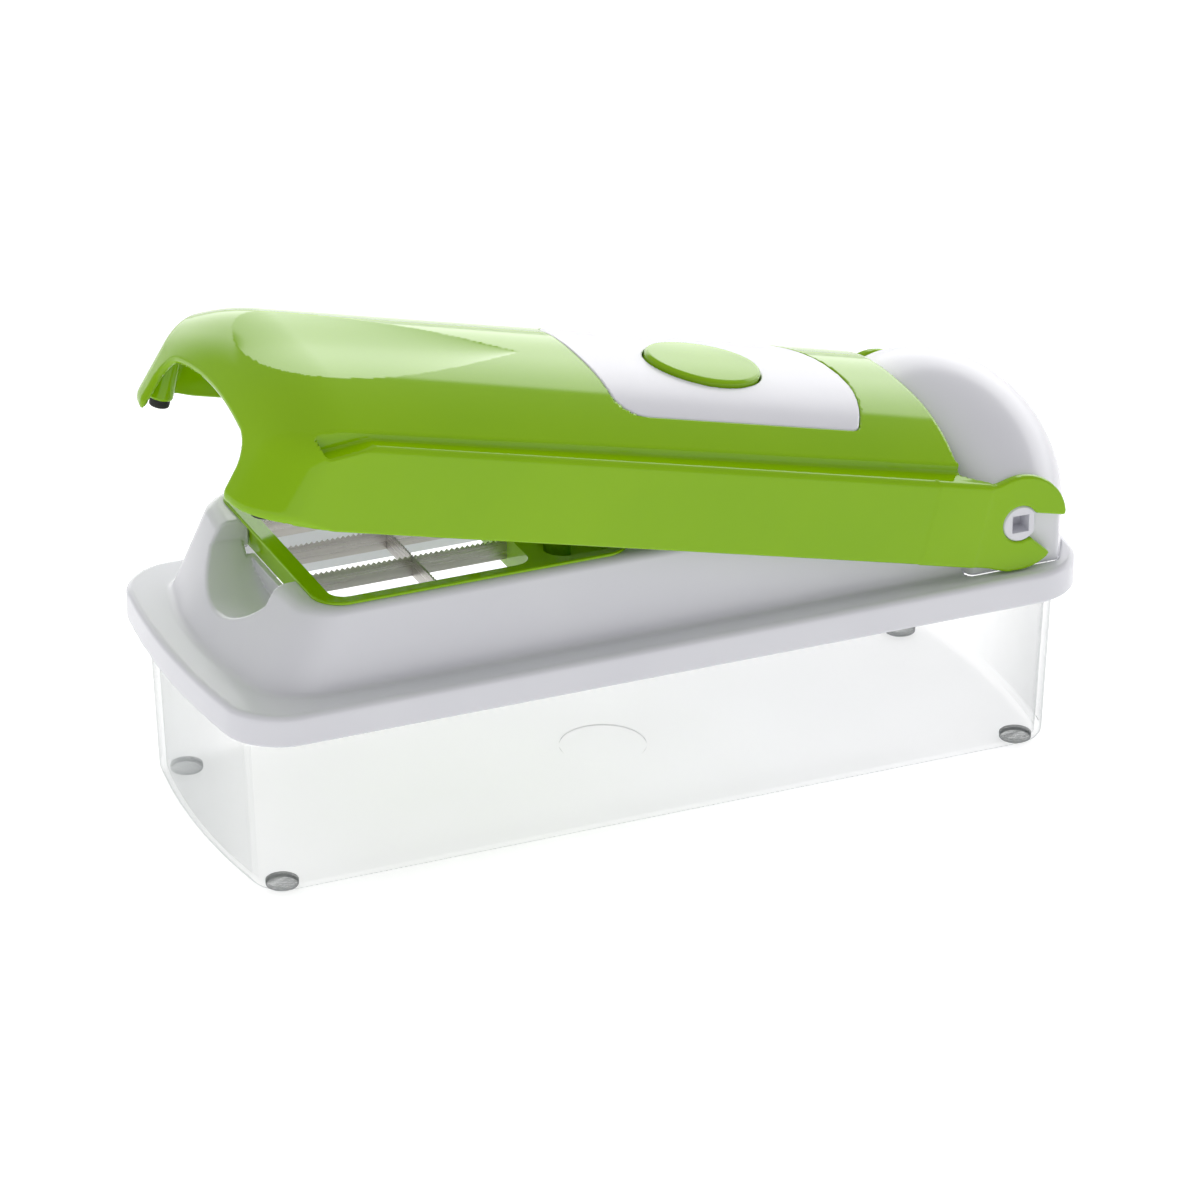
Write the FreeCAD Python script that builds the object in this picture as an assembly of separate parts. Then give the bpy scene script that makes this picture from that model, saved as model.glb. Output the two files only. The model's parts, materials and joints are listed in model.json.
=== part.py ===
import FreeCAD, Part
import math
import os
from FreeCAD import Vector

# Vegetable dicer: a clear container, a white deck with a blade insert, and a hinged green lid.
# Frame: millimetres. +X runs from the handle end to the hinge end, +Z is up, and the origin is
# under the middle of the container, on the surface that its feet stand on.
# The lid's pieces are drawn closed and then turned about the hinge pins to the rest angle.

# ---- container ----
FOOT_HEIGHT = 0.8
FOOT_RADIUS = 4.8
FOOT_X = 116.8
FOOT_Y = 39.4
BOX_HALF_LENGTH = 128.4
BOX_HALF_WIDTH = 47.0
BOX_BOW = 4.6
BOX_CORNER = 10.0
BOX_TOP = 57.6
BOX_WALL = 1.9
BOX_FLOOR = 2.4
DRAFT = 2.0
LIP_HEIGHT = 2.0
LIP_REACH = 2.4
MEDALLION_RADIUS = 13.0

# ---- deck ----
FLANGE_HALF_LENGTH = 136.0
FLANGE_HALF_WIDTH = 55.3
FLANGE_BOW = 5.4
FLANGE_CORNER = 14.8
FLANGE_BOTTOM = 51.3
FLANGE_TOP = 60.8
DECK_WALL = 2.2
DECK_TOP = 86.0
BODY_BASE_FRONT = -127.0
BODY_BASE_HALF_WIDTH = 46.0
BODY_BASE_BOW = 9.0
BODY_TOP_FRONT = -111.0
BODY_TOP_HALF_WIDTH = 44.3
BODY_TOP_BOW = 3.0
BODY_CORNER = 10.0
BODY_REAR = 98.0
RECESS_HALF_WIDTH = 22.0
RECESS_BOTTOM = 70.0
RECESS_BACK = -102.8

# ---- blade insert ----
INSERT_FRONT = -104.5
INSERT_REAR = -8.0
INSERT_HALF_WIDTH = 43.0
INSERT_TOP = 86.9
INSERT_BOTTOM = 77.0
INSERT_INSET = 1.7
OPENING_FRONT = -99.5
OPENING_REAR = -38.7
OPENING_HALF_WIDTH = 39.5
GRIP_FLOOR = 80.5
BLADE_THICKNESS = 0.5
BLADE_TOP = 85.9
BLADE_HEIGHT = 6.3
BLADE_BEDDING = 1.0
TOOTH_PITCH = 1.6
TOOTH_DEPTH = 0.7
ROW_PITCH = 19.75
CROSS_BLADE_X = -67.7

# ---- hinge ----
PIN_X = 110.4
PIN_Z = 76.2
PIN_RADIUS = 5.5
PIN_FLAT = 4.3
PIN_CLEARANCE = 0.08
SOCKET_SIDE = 5.4
HUB_RADIUS = 14.9
ARM_INNER = 48.5
TOWER_HALF_WIDTH = 48.2
TOWER_RADIUS = 29.5
TOWER_END_RADIUS = 14.0
TOWER_REAR = 133.8
TOWER_WALL = 2.4

# ---- lid, closed ----
OPEN_ANGLE = 13.7
LID_BOTTOM = 61.6
LID_HALF_WIDTH = 51.5
LID_FRONT = -131.4
LID_FRONT_Z = 80.0
LID_LEAN = 0.335
LID_BOW = 6.0
LID_CORNER = 14.0
LID_REAR = 88.5
SKIRT_WALL = 2.2
CROWN_TOP = 100.0
CROWN_DROP = 4.75
CROWN_DROP_AT = 35.0
CROWN_POWER = 2.6
CROWN_WALL = 3.0
NOSE_X = -104.0
CURL = 4.6
LEDGE_OUTER_Z = 86.7
LEDGE_INNER_Z = 87.3
LEDGE_INNER = 46.5
LEDGE_SLOPE = 0.12
LEDGE_WALL = 1.5
LEDGE_INNER_REAR = 44.8
LEDGE_FRONT = -113.0
LEDGE_START = -103.0
MOUTH_HALF_WIDTH = 32.6
MOUTH_SHOULDER = 74.5
MOUTH_TOP = 83.6
SCOOP_FRONT = -121.6
SCOOP_TAIL = -36.0
SCOOP_DEPTH = 1.7

# ---- lid fittings, closed ----
PANEL_FRONT = -17.0
PANEL_REAR = 68.5
PANEL_HALF_WIDTH = 34.2
PANEL_BOW = 9.0
PANEL_THICKNESS = 1.6
PANEL_GAP = 0.15
PANEL_LIP = 5.0
BUTTON_X = 23.2
BUTTON_A = 17.6
BUTTON_B = 15.9
BUTTON_PROUD = 1.7
BUTTON_GAP = 0.4
BUTTON_TRAVEL = 2.5
COLLAR_TOP = 97.0
COLLAR_BOTTOM = 95.4
STEM_SIDE = 6.0
STEM_BOTTOM = 92.1
TRAY_BOTTOM = 87.8
TRAY_FLOOR = 1.5
TRAY_FRONT = -12.0
TRAY_REAR = 55.0
TRAY_HALF_WIDTH = 28.0
TRAY_HEIGHT = 6.2
SPRING_RADIUS = 2.7
SPRING_Y = 9.8
LATCH_TRAVEL = 2.0
LATCH_BOTTOM = 89.6
LATCH_TOP = 91.6
LATCH_HALF_WIDTH = 6.0
LATCH_REAR = BUTTON_X + 8.6
LATCH_SEAT = BUTTON_X + 6.8
LATCH_STOP = BUTTON_X + 12.2
SCREW_X = (-3.0, 48.0)
SCREW_Y = 22.0
PUSHER_TOP = 91.0
PUSHER_PLATE_TOP = 90.4
PUSHER_BOTTOM = 89.0
PUSHER_HALF_WIDTH = 39.2
BLOCK_BOTTOM = 82.9
BLOCK_GAP = 1.3
COMB_TOP = 88.8
COMB_BOTTOM = 87.6
PAD_X = -124.5
PAD_Y = 41.0
PAD_RADIUS = 3.0
PAD_BOTTOM = 61.1
PAD_HEIGHT = 2.6


def box(x0, x1, y0, y1, z0, z1):
    """A box from its low and high corners."""
    return Part.makeBox(x1 - x0, y1 - y0, z1 - z0, Vector(x0, y0, z0))


def both_sides(shape):
    """The shape and its mirror image across the XZ plane, as a list."""
    return [shape, shape.mirror(Vector(0, 0, 0), Vector(0, 1, 0))]


def end_points(end_x, half_width, bow, radius, side, z):
    """Corner and end points of one rounded, bowed end; side is -1 at the front and 1 at the rear."""
    reach = side * end_x
    if bow > 0:
        big = (half_width ** 2 + bow ** 2) / (2 * bow)
        middle = reach - big
        corner = middle + math.sqrt((big - radius) ** 2 - (half_width - radius) ** 2)
        angle = math.atan2(half_width - radius, corner - middle)
    else:
        corner = reach - radius
        angle = 0.0
    bend = (angle + math.pi / 2) / 2
    tip = (corner + radius * math.cos(angle), half_width - radius + radius * math.sin(angle))
    mid = (corner + radius * math.cos(bend), half_width - radius + radius * math.sin(bend))
    flat = (corner, half_width)
    return [Vector(side * x, y, z) for x, y in (flat, mid, tip)] + [Vector(end_x, 0, z)]


def flipped(point):
    return Vector(point.x, -point.y, point.z)


def arc(a, b, c):
    return Part.Arc(a, b, c).toShape()


def plan_wire(front, rear, half_width, bow_front, bow_rear, r_front, r_rear, z):
    """Closed plan outline, symmetric about the X axis, with rounded corners and bowed ends."""
    flat_f, mid_f, tip_f, nose_f = end_points(front, half_width, bow_front, r_front, -1, z)
    flat_r, mid_r, tip_r, nose_r = end_points(rear, half_width, bow_rear, r_rear, 1, z)
    if bow_front > 0:
        front_end = arc(tip_f, nose_f, flipped(tip_f))
    else:
        front_end = Part.makeLine(tip_f, flipped(tip_f))
    if bow_rear > 0:
        rear_end = arc(flipped(tip_r), nose_r, tip_r)
    else:
        rear_end = Part.makeLine(flipped(tip_r), tip_r)
    edges = [
        Part.makeLine(flipped(flat_f), flipped(flat_r)),
        arc(flipped(flat_r), flipped(mid_r), flipped(tip_r)),
        rear_end,
        arc(tip_r, mid_r, flat_r),
        Part.makeLine(flat_r, flat_f),
        arc(flat_f, mid_f, tip_f),
        front_end,
        arc(flipped(tip_f), flipped(mid_f), flipped(flat_f)),
    ]
    return Part.Wire(edges)


def even_wire(half_length, half_width, bow, radius, z):
    """Plan outline that is the same at both ends."""
    return plan_wire(-half_length, half_length, half_width, bow, bow, radius, radius, z)


def prism(wire, height):
    return Part.Face(wire).extrude(Vector(0, 0, height))


def tapered(low, high):
    """Solid between two plan outlines."""
    return Part.makeLoft([low, high], True, True)


def polygon(points):
    return Part.Face(Part.makePolygon(points + [points[0]]))


# ------------------------------------------------------------------ container

def box_outline(z, inset):
    """Container outline at a height: it widens upwards by the draft."""
    grow = z * math.tan(math.radians(DRAFT)) - inset
    return even_wire(BOX_HALF_LENGTH + grow, BOX_HALF_WIDTH + grow, BOX_BOW, BOX_CORNER + grow, z)


def container():
    outer = tapered(box_outline(FOOT_HEIGHT, 0), box_outline(BOX_TOP, 0))
    floor_edges = [e for e in outer.Edges if e.BoundBox.ZMax < FOOT_HEIGHT + 0.01]
    outer = outer.makeFillet(2.5, floor_edges)
    inner = tapered(box_outline(BOX_FLOOR, BOX_WALL), box_outline(BOX_TOP + 1, BOX_WALL))
    rise = (BOX_TOP - LIP_HEIGHT) * math.tan(math.radians(DRAFT))
    lip = prism(even_wire(BOX_HALF_LENGTH + rise + LIP_REACH, BOX_HALF_WIDTH + rise + LIP_REACH,
                          BOX_BOW, BOX_CORNER + rise + LIP_REACH, BOX_TOP - LIP_HEIGHT), LIP_HEIGHT)
    shell = outer.fuse(lip).cut(inner)
    pockets = [Part.makeCylinder(FOOT_RADIUS, FOOT_HEIGHT, Vector(x, y, FOOT_HEIGHT))
               for x in (-FOOT_X, FOOT_X) for y in (-FOOT_Y, FOOT_Y)]
    medallion = Part.makeCylinder(MEDALLION_RADIUS, 0.6, Vector(0, 0, BOX_FLOOR - 0.1))
    return shell.cut(Part.makeCompound(pockets)).fuse(medallion).removeSplitter()


def container_feet():
    """Four rubber feet, pressed into shallow pockets under the floor."""
    feet = []
    for x in (-FOOT_X, FOOT_X):
        for y in (-FOOT_Y, FOOT_Y):
            foot = Part.makeCylinder(FOOT_RADIUS, 2 * FOOT_HEIGHT, Vector(x, y, 0))
            rim = [e for e in foot.Edges if e.BoundBox.ZMax < 0.01]
            feet.append(foot.makeFillet(0.4, rim))
    return Part.makeCompound(feet)


# ------------------------------------------------------------------ deck

def tower_solid(inset):
    """Solid tower: a body turned about the pin axis, carried straight down to the flange."""
    reach = TOWER_HALF_WIDTH - inset
    low = Vector(PIN_X + TOWER_END_RADIUS - inset, -reach, PIN_Z)
    top = Vector(PIN_X + TOWER_RADIUS - inset, 0, PIN_Z)
    left = Vector(PIN_X, -reach, PIN_Z)
    half = Part.Face(Part.Wire([
        Part.makeLine(left, low),
        arc(low, top, flipped(low)),
        Part.makeLine(flipped(low), flipped(left)),
        Part.makeLine(flipped(left), left),
    ]))
    turned = half.revolve(Vector(PIN_X, 0, PIN_Z), Vector(0, 1, 0), -180)
    rear_leg = half.extrude(Vector(0, 0, FLANGE_TOP - PIN_Z))
    front_leg = rear_leg.mirror(Vector(PIN_X, 0, 0), Vector(1, 0, 0))
    tower = turned.fuse([rear_leg, front_leg]).removeSplitter()
    back = prism(plan_wire(60, TOWER_REAR - inset, 62, 0, 5.0, 2.0, 2.0, FLANGE_TOP - 5), 60)
    return tower.common(back)


def hinge_tower():
    """Hollow white tower between the lid's arms, bored for the two hinge pins."""
    outer = tower_solid(0)
    shell = outer.cut(tower_solid(TOWER_WALL))
    bosses = both_sides(Part.makeCylinder(PIN_RADIUS + 2.5, 10.0, Vector(PIN_X, 36.0, PIN_Z), Vector(0, 1, 0)))
    shell = shell.fuse(bosses)
    bores = both_sides(Part.makeCylinder(PIN_RADIUS, 11.0, Vector(PIN_X, 38.0, PIN_Z), Vector(0, 1, 0)))
    return shell.cut(bores).removeSplitter()


def hinge_pin():
    """Far-side pin: a stub with one flat, and a square socket in its outer face."""
    inner_end = 38.0
    length = LID_HALF_WIDTH - 0.2 - inner_end
    pin = Part.makeCylinder(PIN_RADIUS, length, Vector(PIN_X, inner_end, PIN_Z), Vector(0, 1, 0))
    tip = [e for e in pin.Edges if e.BoundBox.YMin > inner_end + length - 0.01]
    pin = pin.makeChamfer(0.4, tip)
    pin = pin.cut(box(PIN_X + PIN_FLAT, PIN_X + 9, TOWER_HALF_WIDTH, 60, PIN_Z - 9, PIN_Z + 9))
    side = SOCKET_SIDE / 2
    socket = box(PIN_X - side, PIN_X + side, LID_HALF_WIDTH - 6.0, 60, PIN_Z - side, PIN_Z + side)
    return pin.cut(socket)


def body_outline(front, half_width, bow, z, inset):
    return plan_wire(front + inset, BODY_REAR - inset, half_width - inset, bow, 0,
                     BODY_CORNER - inset, 3.0, z)


def recess_solid(wall):
    """Finger recess in the deck's front, a U-shaped slot; wall thickens it into a pocket."""
    half = RECESS_HALF_WIDTH + wall
    low = RECESS_BOTTOM - wall
    shoulder = RECESS_BOTTOM + 10.0
    edge = Part.Wire([
        arc(Vector(-140, -half, shoulder), Vector(-140, 0, low), Vector(-140, half, shoulder)),
        Part.makeLine(Vector(-140, half, shoulder), Vector(-140, half, DECK_TOP + 5)),
        Part.makeLine(Vector(-140, half, DECK_TOP + 5), Vector(-140, -half, DECK_TOP + 5)),
        Part.makeLine(Vector(-140, -half, DECK_TOP + 5), Vector(-140, -half, shoulder)),
    ])
    return Part.Face(edge).extrude(Vector(RECESS_BACK + wall * 0.7 + 140, 0, 0))


def insert_hole():
    """The deck's hole that the blade insert drops into."""
    gap = 0.3
    wire = plan_wire(INSERT_FRONT + INSERT_INSET + 1.2 - gap, INSERT_REAR - INSERT_INSET + gap,
                     INSERT_HALF_WIDTH - INSERT_INSET + gap, 0, 0, 6.0, 6.0, DECK_TOP - 10)
    return prism(wire, 20)


def deck_frame():
    """White deck: a flanged cap over the container with a raised, hollow body."""
    flange = prism(even_wire(FLANGE_HALF_LENGTH, FLANGE_HALF_WIDTH, FLANGE_BOW, FLANGE_CORNER,
                             FLANGE_BOTTOM), FLANGE_TOP - FLANGE_BOTTOM)
    rims = [e for e in flange.Edges if e.BoundBox.ZMin > FLANGE_TOP - 0.01]
    flange = flange.makeFillet(1.8, rims)
    under = prism(even_wire(FLANGE_HALF_LENGTH - DECK_WALL, FLANGE_HALF_WIDTH - DECK_WALL, FLANGE_BOW,
                            FLANGE_CORNER - DECK_WALL, FLANGE_BOTTOM - 1),
                  FLANGE_TOP - DECK_WALL - FLANGE_BOTTOM + 1)
    body = tapered(
        body_outline(BODY_BASE_FRONT, BODY_BASE_HALF_WIDTH, BODY_BASE_BOW, FLANGE_TOP - 1, 0),
        body_outline(BODY_TOP_FRONT, BODY_TOP_HALF_WIDTH, BODY_TOP_BOW, DECK_TOP, 0))
    brow = [e for e in body.Edges if e.BoundBox.ZMin > DECK_TOP - 0.01 and e.BoundBox.XMin < BODY_REAR - 1]
    body = body.makeFillet(2.6, brow)
    hollow = tapered(
        body_outline(BODY_BASE_FRONT, BODY_BASE_HALF_WIDTH, BODY_BASE_BOW, FLANGE_TOP - 4, DECK_WALL),
        body_outline(BODY_TOP_FRONT, BODY_TOP_HALF_WIDTH, BODY_TOP_BOW, DECK_TOP - DECK_WALL, DECK_WALL))
    hollow = hollow.cut(recess_solid(1.6))
    rim_a = BOX_HALF_LENGTH - 1.1
    rim_b = BOX_HALF_WIDTH - 1.1
    rim = prism(even_wire(rim_a, rim_b, BOX_BOW, BOX_CORNER - 1, 54.0), FLANGE_TOP - 1 - 54.0)
    rim = rim.cut(prism(even_wire(rim_a - 1.6, rim_b - 1.6, BOX_BOW, BOX_CORNER - 2.6, 50.0), 20.0))
    frame = flange.cut(under).fuse([body, rim])
    frame = frame.cut(hollow)
    frame = frame.cut(recess_solid(0))
    frame = frame.cut(insert_hole())
    return frame.cut(tower_solid(0)).removeSplitter()


# ------------------------------------------------------------------ blade insert

def insert_frame():
    """Green frame: a thin rim on the deck, walls in the hole, a blade opening and a grip end."""
    rim = prism(plan_wire(INSERT_FRONT, INSERT_REAR, INSERT_HALF_WIDTH, 0, 0, 9.0, 9.0, DECK_TOP + 0.05),
                INSERT_TOP - DECK_TOP - 0.05)
    rim_edges = [e for e in rim.Edges if e.BoundBox.ZMin > INSERT_TOP - 0.01]
    rim = rim.makeFillet(0.5, rim_edges)
    wall_front = INSERT_FRONT + INSERT_INSET + 1.2
    wall_rear = INSERT_REAR - INSERT_INSET
    wall = prism(plan_wire(wall_front, wall_rear, INSERT_HALF_WIDTH - INSERT_INSET, 0, 0, 5.7, 5.7,
                           INSERT_BOTTOM), INSERT_TOP - INSERT_BOTTOM - 0.4)
    opening = prism(plan_wire(OPENING_FRONT, OPENING_REAR, OPENING_HALF_WIDTH, 0, 0, 5.0, 5.0,
                              INSERT_BOTTOM - 1), 20)
    grip_front = OPENING_REAR + 5.6
    grip_rear = wall_rear - 2.0
    grip = prism(plan_wire(grip_front, grip_rear, OPENING_HALF_WIDTH, 0, 0, 6.0, 6.0, GRIP_FLOOR), 20)
    under = prism(plan_wire(grip_front, grip_rear, OPENING_HALF_WIDTH, 0, 0, 6.0, 6.0,
                            INSERT_BOTTOM - 1), GRIP_FLOOR - 1.6 - INSERT_BOTTOM + 1)
    tab = Part.makeCylinder(4.0, INSERT_TOP - GRIP_FLOOR, Vector(grip_front + 7.5, 0, GRIP_FLOOR - 0.1))
    tabs = [tab.translated(Vector(0, y, 0)) for y in (-26.0, 26.0)]
    frame = rim.fuse(wall).cut([opening, grip, under]).fuse(tabs)
    return frame.cut(Part.makeCompound(blade_slots())).removeSplitter()


def blade_slots():
    """Slots that hold the blades' ends, open at the top for assembly."""
    half = BLADE_THICKNESS / 2 + 0.02
    low = BLADE_TOP - BLADE_HEIGHT - 0.02
    slots = []
    for row in (-1, 0, 1):
        y = row * ROW_PITCH
        slots.append(box(OPENING_FRONT - BLADE_BEDDING, OPENING_REAR + BLADE_BEDDING, y - half, y + half,
                         low, BLADE_TOP + 0.02))
    reach = OPENING_HALF_WIDTH + BLADE_BEDDING
    slots.append(box(CROSS_BLADE_X - half, CROSS_BLADE_X + half, -reach, reach, low, BLADE_TOP + 0.02))
    return slots


def blade_face(length):
    """Blade outline along X from 0, with triangular teeth between its plain ends."""
    top = BLADE_TOP
    low = BLADE_TOP - BLADE_HEIGHT
    end = BLADE_BEDDING + 0.6
    count = int((length - 2 * end) / TOOTH_PITCH)
    start = (length - count * TOOTH_PITCH) / 2
    points = [Vector(0, 0, low), Vector(length, 0, low), Vector(length, 0, top)]
    for k in range(count, 0, -1):
        points.append(Vector(start + k * TOOTH_PITCH, 0, top))
        points.append(Vector(start + (k - 0.5) * TOOTH_PITCH, 0, top - TOOTH_DEPTH))
    points.append(Vector(start, 0, top))
    points.append(Vector(0, 0, top))
    return polygon(points)


def long_blade(row):
    """Steel strip along X, notched from below where the cross blade passes."""
    half = BLADE_THICKNESS / 2
    length = OPENING_REAR - OPENING_FRONT + 2 * BLADE_BEDDING
    strip = blade_face(length).extrude(Vector(0, BLADE_THICKNESS, 0))
    strip.translate(Vector(OPENING_FRONT - BLADE_BEDDING, row * ROW_PITCH - half, 0))
    middle = BLADE_TOP - BLADE_HEIGHT / 2 + 0.05
    notch = box(CROSS_BLADE_X - half - 0.05, CROSS_BLADE_X + half + 0.05, -60, 60, 60, middle)
    return strip.cut(notch)


def cross_blade():
    """Steel strip along Y, notched from above where the long blades pass."""
    half = BLADE_THICKNESS / 2
    length = 2 * (OPENING_HALF_WIDTH + BLADE_BEDDING)
    strip = blade_face(length).extrude(Vector(0, BLADE_THICKNESS, 0))
    strip.translate(Vector(-length / 2, -half, 0))
    strip.rotate(Vector(0, 0, 0), Vector(0, 0, 1), 90)
    strip.translate(Vector(CROSS_BLADE_X, 0, 0))
    middle = BLADE_TOP - BLADE_HEIGHT / 2 - 0.05
    notches = [box(-90, -50, row * ROW_PITCH - half - 0.05, row * ROW_PITCH + half + 0.05, middle, 100)
               for row in (-1, 0, 1)]
    return strip.cut(notches)


# ------------------------------------------------------------------ lid, drawn closed

def crown_height(y):
    """Height of the lid's crowned top at a distance y from the middle."""
    return CROWN_TOP - CROWN_DROP * (abs(y) / CROWN_DROP_AT) ** CROWN_POWER


def crown_solid(lift, front=-160.0, rear=130.0):
    """Everything under the crown surface, moved up by lift."""
    half = 56.0
    curve = Part.BSplineCurve()
    curve.interpolate([Vector(front, half * k / 6.0, crown_height(half * k / 6.0) + lift)
                       for k in range(-6, 7)])
    low = 40.0
    a = Vector(front, -half, low)
    b = Vector(front, half, low)
    edge = Part.Wire([
        curve.toShape(),
        Part.makeLine(curve.EndPoint, b),
        Part.makeLine(b, a),
        Part.makeLine(a, curve.StartPoint),
    ])
    return Part.Face(edge).extrude(Vector(rear - front, 0, 0))


def lid_section(y, inset, drop, low):
    """Side outline of the lid at y: curled foot, leaning front wall, rounded brow and level top."""
    brow = crown_height(y) - drop
    front = LID_FRONT + LID_BOW * (y / LID_HALF_WIDTH) ** 2 + inset
    span = NOSE_X - front
    rise = brow - LID_FRONT_Z
    points = []
    for k in range(9):
        bend = k * math.pi / 16
        x = NOSE_X - span * math.cos(bend) + LID_LEAN * rise * math.sin(bend) * (1 - math.sin(bend))
        points.append(Vector(x, y, LID_FRONT_Z + rise * math.sin(bend)))
    curve = Part.BSplineCurve()
    curve.interpolate(points)
    foot = front - LID_LEAN * (LID_FRONT_Z - low - CURL)
    curl_top = Vector(foot, y, low + CURL)
    curl_low = Vector(foot + CURL, y, low)
    rear_top = Vector(130, y, brow)
    rear_low = Vector(130, y, low)
    return Part.Wire([
        arc(curl_low, Vector(foot + CURL * 0.3, y, low + CURL * 0.3), curl_top),
        Part.makeLine(curl_top, curve.StartPoint),
        curve.toShape(),
        Part.makeLine(curve.EndPoint, rear_top),
        Part.makeLine(rear_top, rear_low),
        Part.makeLine(rear_low, curl_low),
    ])


def lid_plan(z, inset):
    """Plan outline of the lid at a height: the front corners lean back with the front wall."""
    front = LID_FRONT - LID_LEAN * (LID_FRONT_Z - z) + inset
    return plan_wire(front - 0.4, 128, LID_HALF_WIDTH - inset, LID_BOW, 0, LID_CORNER - inset, 2.0, z)


def lid_form(inset, drop, low):
    """The lid's closed form, shrunk by inset at the front and sides and by drop at the top."""
    stations = (0.0, 10.0, 20.0, 28.0, 36.0, 43.0, 49.0, 56.0)
    sections = [lid_section(-y, inset, drop, low) for y in reversed(stations[1:])]
    sections += [lid_section(y, inset, drop, low) for y in stations]
    body = Part.makeLoft(sections, True, False)
    return tapered(lid_plan(low - 1, inset), lid_plan(CROWN_TOP + 5, inset)).common(body)


def ledge_cut(inset):
    """Far-side step beside the crown; inset grows it into the wall for the hollow."""
    inner = LEDGE_INNER - inset
    inner_rear = LEDGE_INNER_REAR - inset
    plan = polygon([
        Vector(LEDGE_FRONT - inset, 62, 80),
        Vector(LEDGE_FRONT - inset, LID_HALF_WIDTH, 80),
        Vector(LEDGE_START - inset, inner, 80),
        Vector(LID_REAR, inner_rear, 80),
        Vector(132, inner_rear, 80),
        Vector(132, 62, 80),
    ]).extrude(Vector(0, 0, 40))
    side = polygon([
        Vector(-125, 40, LEDGE_INNER_Z + LEDGE_SLOPE * (LEDGE_INNER - 40) - inset),
        Vector(-125, 62, LEDGE_OUTER_Z - LEDGE_SLOPE * (62 - LID_HALF_WIDTH) - inset),
        Vector(-125, 62, 120),
        Vector(-125, 40, 120),
    ]).extrude(Vector(260, 0, 0))
    return plan.common(side)


def mouth_solid():
    """Arched finger opening in the lid's front wall."""
    half = MOUTH_HALF_WIDTH
    points = [(-half, LID_BOTTOM - 6), (-half + 0.7, MOUTH_SHOULDER), (-half + 5.0, MOUTH_SHOULDER + 5.0),
              (0, MOUTH_TOP), (half - 5.0, MOUTH_SHOULDER + 5.0), (half - 0.7, MOUTH_SHOULDER),
              (half, LID_BOTTOM - 6)]
    a, b, c, d, e, f, g = [Vector(-145, y, z) for y, z in points]
    corner = Vector(-145, -half + 2.0, MOUTH_SHOULDER + 3.4)
    edge = Part.Wire([Part.makeLine(a, b), arc(b, corner, c), arc(c, d, e),
                      arc(e, flipped(corner), f), Part.makeLine(f, g), Part.makeLine(g, a)])
    return Part.Face(edge).extrude(Vector(24, 0, 0))


def scoop_outline():
    """Teardrop outline of the palm rest, blunt at the front and pointed at the tail."""
    side = [(-120.4, 9.5), (-118.0, 17.0), (-113.0, 23.8), (-105.0, 25.6), (-93.0, 23.4),
            (-75.0, 17.0), (-59.0, 9.6), (-46.0, 3.8)]
    far = [Vector(x, y, 70) for x, y in side]
    near = [flipped(point) for point in reversed(far)]
    curve = Part.BSplineCurve()
    curve.interpolate([Vector(SCOOP_TAIL, 0, 70)] + near + [Vector(SCOOP_FRONT, 0, 70)] + far
                      + [Vector(SCOOP_TAIL, 0, 70)])
    return Part.Wire(curve.toShape())


def scoop_cut():
    """Palm rest: a teardrop dish that is deepest over the brow and runs out at its tail."""
    floor = lid_form(SCOOP_DEPTH, SCOOP_DEPTH, LID_BOTTOM)
    tilted = crown_solid(0, NOSE_X - 0.5, 0.0)
    slope = math.degrees(math.atan(SCOOP_DEPTH / (SCOOP_TAIL - NOSE_X)))
    tilted.rotate(Vector(SCOOP_TAIL, 0, CROWN_TOP), Vector(0, 1, 0), -slope)
    return prism(scoop_outline(), 50).cut([floor, tilted])


def panel_outline(gap, z):
    return plan_wire(PANEL_FRONT - gap, PANEL_REAR + gap, PANEL_HALF_WIDTH + gap, 0, PANEL_BOW,
                     9.0, 2.0, z)


def arm_solid():
    """Far-side hinge arm: a plate that ends in a hooked, open bearing."""
    depth = LID_HALF_WIDTH - ARM_INNER
    plate = box(LID_REAR - 6, PIN_X, ARM_INNER, LID_HALF_WIDTH, LID_BOTTOM, LEDGE_OUTER_Z)
    hub = Part.makeCylinder(HUB_RADIUS, depth, Vector(PIN_X, ARM_INNER, PIN_Z), Vector(0, 1, 0))
    slot = polygon([
        Vector(PIN_X, 40, PIN_Z + 3.6),
        Vector(PIN_X + 20, 40, PIN_Z + 3.9),
        Vector(PIN_X + 20, 40, PIN_Z - 12.5),
        Vector(PIN_X + 4.9, 40, PIN_Z - 4.2),
        Vector(PIN_X, 40, PIN_Z - 4.2),
    ]).extrude(Vector(0, 20, 0))
    bore = Part.makeCylinder(PIN_RADIUS + PIN_CLEARANCE, 20, Vector(PIN_X, 40, PIN_Z), Vector(0, 1, 0))
    return plate.fuse(hub).cut([slot, bore])


def pusher_hooks():
    """Pads inside the lid's front that carry the pusher plate's two tabs."""
    return both_sides(box(-108.0, -101.0, 17.0, 27.0, 87.4, 88.8).fuse(
        box(-108.0, -105.5, 17.0, 27.0, 87.4, 96.0)))


def lid_ribs():
    """Cross ribs that back the pusher plate, cut to the crown."""
    ribs = [box(x, x + 1.8, -38.0, 38.0, PUSHER_TOP + 0.1, 105) for x in (-92.0, -68.5, -45.0)]
    return [rib.common(crown_solid(-1.0)) for rib in ribs]


def pad_posts():
    """Corner posts that carry the rubber stop pads."""
    top = 88.0
    base = PAD_BOTTOM + PAD_HEIGHT
    post = Part.makeCylinder(PAD_RADIUS + 0.6, top - base, Vector(PAD_X, PAD_Y, base))
    web = box(PAD_X - 1.0, PAD_X + 1.0, PAD_Y, LID_HALF_WIDTH - 1.0, base + 6, top)
    return both_sides(post.fuse(web))


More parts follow.
